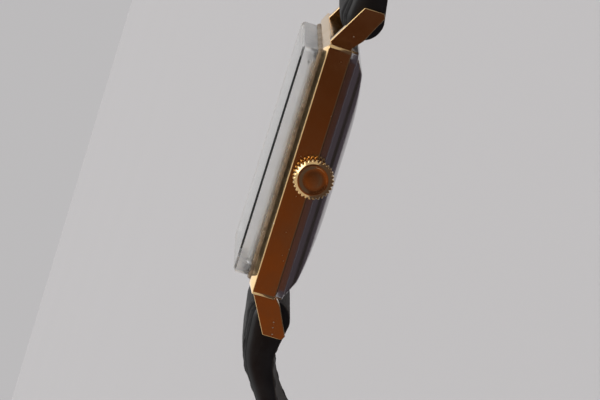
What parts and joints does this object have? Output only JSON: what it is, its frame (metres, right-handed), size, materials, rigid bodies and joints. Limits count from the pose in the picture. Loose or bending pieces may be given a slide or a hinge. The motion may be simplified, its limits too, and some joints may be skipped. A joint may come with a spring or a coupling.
{
  "type": "rectangular wristwatch",
  "caption": "Rectangular dress wristwatch: gold-coloured case, clear slab crystal, steel snap back, knurled crown, padded black leather strap with pin buckle.",
  "frame": {"origin": "middle of the flat on the case back", "axes": "+Z out of the dial, +Y towards 12 o'clock, +X towards the crown at 3 o'clock"},
  "size_m": [0.0261, 0.0776, 0.0617],
  "materials": {
    "gold_case": "polished gold plate",
    "gold_hands": "polished gold plate",
    "gold_buckle": "polished gold plate",
    "polished_steel": "polished stainless steel",
    "hardened_steel": "brushed",
    "blued_steel": "blued",
    "nickel_plate": "frosted",
    "wheel_brass": "satin",
    "ruby": "polished",
    "crystal_glass": "clear",
    "seal_resin": "glossy, aged",
    "gasket_rubber": "matt",
    "dial_paint": "satin",
    "black_leather": "smooth padded calf"
  },
  "bodies": {
    "case": {"case_middle": "gold_case", "lugs": "gold_case", "case_back": "polished_steel", "crystal": "crystal_glass", "crystal_seal": "seal_resin", "spring_bars": "polished_steel", "stem_tube": "gold_case", "movement_ring": "nickel_plate", "holder_clamps": "nickel_plate", "main_plate": "nickel_plate", "barrel_bridge": "nickel_plate", "train_bridge": "nickel_plate", "balance_cock": "nickel_plate", "pallet_bridge": "nickel_plate", "jewels": "ruby", "bridge_screws": "blued_steel", "crown_wheel_core": "hardened_steel", "click_spring": "hardened_steel", "motion_posts": "wheel_brass", "dial": "dial_paint", "hour_markers": "gold_hands"},
    "winding_pinion": {"winding_pinion": "hardened_steel"},
    "crown": {"crown": "gold_case", "crown_gasket": "gasket_rubber", "winding_stem": "hardened_steel"},
    "sliding_pinion": {"sliding_pinion": "hardened_steel"},
    "setting_lever": {"setting_lever": "hardened_steel"},
    "yoke": {"yoke": "hardened_steel"},
    "crown_wheel": {"crown_wheel": "hardened_steel"},
    "ratchet": {"ratchet_wheel": "hardened_steel", "barrel_arbor": "hardened_steel"},
    "barrel": {"barrel_drum": "wheel_brass", "mainspring": "hardened_steel"},
    "click": {"click": "hardened_steel"},
    "centre_wheel": {"centre_wheel": "wheel_brass"},
    "third_wheel": {"third_wheel": "wheel_brass"},
    "fourth_wheel": {"fourth_wheel": "wheel_brass"},
    "escape_wheel": {"escape_wheel": "hardened_steel"},
    "pallet_fork": {"pallet_fork": "hardened_steel"},
    "balance": {"balance_wheel": "wheel_brass", "hairspring": "hardened_steel"},
    "minute_hand": {"cannon_pinion": "hardened_steel", "minute_hand": "gold_hands"},
    "hour_hand": {"hour_wheel": "wheel_brass", "hour_hand": "gold_hands"},
    "minute_wheel": {"minute_wheel": "wheel_brass"},
    "setting_wheel": {"setting_wheel": "wheel_brass"},
    "strap_long": {"strap_long": "black_leather"},
    "strap_short": {"strap_short": "black_leather", "fixed_keeper": "black_leather"},
    "free_keeper": {"free_keeper": "black_leather"},
    "buckle": {"buckle_frame": "gold_buckle", "buckle_bar": "gold_buckle"},
    "tang": {"buckle_tang": "gold_buckle"}
  },
  "joints": [
    {"name": "crown_turn", "type": "hinge", "parent": "case", "child": "winding_pinion", "pos_m": [0.00675, 0, 0.00284], "axis": [1, 0, 0], "continuous": true},
    {"name": "crown_pull", "type": "slide", "parent": "winding_pinion", "child": "crown", "axis": [1, 0, 0], "range_m": [0, 0.0008]},
    {"name": "sliding_pinion_shift", "type": "slide", "parent": "winding_pinion", "child": "sliding_pinion", "axis": [1, 0, 0], "range_m": [-0.0006, 0]},
    {"name": "setting_lever_turn", "type": "hinge", "parent": "case", "child": "setting_lever", "pos_m": [0.00775, 0.002, 0.00365], "axis": [0, 0, 1], "range_deg": [0, 23]},
    {"name": "yoke_turn", "type": "hinge", "parent": "case", "child": "yoke", "pos_m": [0.00602, 0.0029, 0.00365], "axis": [0, 0, 1], "range_deg": [-13.5, 0]},
    {"name": "crown_wheel_turn", "type": "hinge", "parent": "case", "child": "crown_wheel", "pos_m": [0.00597, 0, 0.001], "axis": [0, 0, 1], "continuous": true},
    {"name": "ratchet_turn", "type": "hinge", "parent": "case", "child": "ratchet", "pos_m": [0.00241, 0.00344, 0.001], "axis": [0, 0, 1], "continuous": true},
    {"name": "click_turn", "type": "hinge", "parent": "case", "child": "click", "pos_m": [-0.00178, 0.00389, 0.001], "axis": [0, 0, 1], "range_deg": [0, 8], "stiffness_Nm_per_rad": 0.00001},
    {"name": "barrel_turn", "type": "hinge", "parent": "case", "child": "barrel", "pos_m": [0.00241, 0.00344, 0.0032], "axis": [0, 0, 1], "continuous": true},
    {"name": "centre_wheel_turn", "type": "hinge", "parent": "case", "child": "centre_wheel", "pos_m": [0, 0, 0.0032], "axis": [0, 0, 1], "continuous": true},
    {"name": "third_wheel_turn", "type": "hinge", "parent": "case", "child": "third_wheel", "pos_m": [-0.00338, -0.00123, 0.0032], "axis": [0, 0, 1], "continuous": true},
    {"name": "fourth_wheel_turn", "type": "hinge", "parent": "case", "child": "fourth_wheel", "pos_m": [-0.00245, -0.00379, 0.0032], "axis": [0, 0, 1], "continuous": true},
    {"name": "escape_wheel_turn", "type": "hinge", "parent": "case", "child": "escape_wheel", "pos_m": [-0.00018, -0.00419, 0.0032], "axis": [0, 0, 1], "continuous": true},
    {"name": "pallet_fork_swing", "type": "hinge", "parent": "case", "child": "pallet_fork", "pos_m": [0.00162, -0.00419, 0.0032], "axis": [0, 0, 1], "range_deg": [-5, 5]},
    {"name": "balance_swing", "type": "hinge", "parent": "case", "child": "balance", "pos_m": [0.00377, -0.00419, 0.0032], "axis": [0, 0, 1], "range_deg": [-220, 220], "stiffness_Nm_per_rad": 0.0000000025},
    {"name": "minute_hand_turn", "type": "hinge", "parent": "case", "child": "minute_hand", "pos_m": [0, 0, 0.0043], "axis": [0, 0, -1], "continuous": true},
    {"name": "hour_hand_turn", "type": "hinge", "parent": "case", "child": "hour_hand", "pos_m": [0, 0, 0.0043], "axis": [0, 0, -1], "continuous": true},
    {"name": "minute_wheel_turn", "type": "hinge", "parent": "case", "child": "minute_wheel", "pos_m": [0.00197, -0.00138, 0.0043], "axis": [0, 0, -1], "continuous": true},
    {"name": "setting_wheel_turn", "type": "hinge", "parent": "case", "child": "setting_wheel", "pos_m": [0.00462, -0.00091, 0.0043], "axis": [0, 0, -1], "continuous": true},
    {"name": "strap_long_swing", "type": "hinge", "parent": "case", "child": "strap_long", "pos_m": [0, -0.0183, 0.00261], "axis": [-1, 0, 0], "range_deg": [-2, 75]},
    {"name": "strap_short_swing", "type": "hinge", "parent": "case", "child": "strap_short", "pos_m": [0, 0.0183, 0.00261], "axis": [1, 0, 0], "range_deg": [-2, 75]},
    {"name": "free_keeper_slide", "type": "slide", "parent": "strap_short", "child": "free_keeper", "axis": [0, 0, 1], "range_m": [-0.004, 0.004]},
    {"name": "buckle_swing", "type": "hinge", "parent": "strap_short", "child": "buckle", "pos_m": [0, 0.02214, -0.05202], "axis": [-1, 0, 0], "range_deg": [-45, 60]},
    {"name": "tang_swing", "type": "hinge", "parent": "buckle", "child": "tang", "pos_m": [0, 0.02214, -0.05202], "axis": [1, 0, 0], "range_deg": [0, 90]}
  ],
  "couplings": [
    {"joint": "sliding_pinion_shift", "follows": "crown_pull", "ratio": -0.75},
    {"joint": "setting_lever_turn", "follows": "crown_pull", "rad_per_m": 500},
    {"joint": "yoke_turn", "follows": "crown_pull", "rad_per_m": -288.46},
    {"joint": "crown_wheel_turn", "follows": "crown_turn", "ratio": 0.83333},
    {"joint": "ratchet_turn", "follows": "crown_turn", "ratio": -0.47619},
    {"joint": "third_wheel_turn", "follows": "fourth_wheel_turn", "ratio": -0.13333},
    {"joint": "centre_wheel_turn", "follows": "fourth_wheel_turn", "ratio": 0.016667},
    {"joint": "barrel_turn", "follows": "fourth_wheel_turn", "ratio": -0.0027778},
    {"joint": "escape_wheel_turn", "follows": "fourth_wheel_turn", "ratio": -10},
    {"joint": "hour_hand_turn", "follows": "minute_hand_turn", "ratio": 0.083333},
    {"joint": "minute_wheel_turn", "follows": "minute_hand_turn", "ratio": -0.33333},
    {"joint": "setting_wheel_turn", "follows": "minute_hand_turn", "ratio": 0.66667}
  ]
}
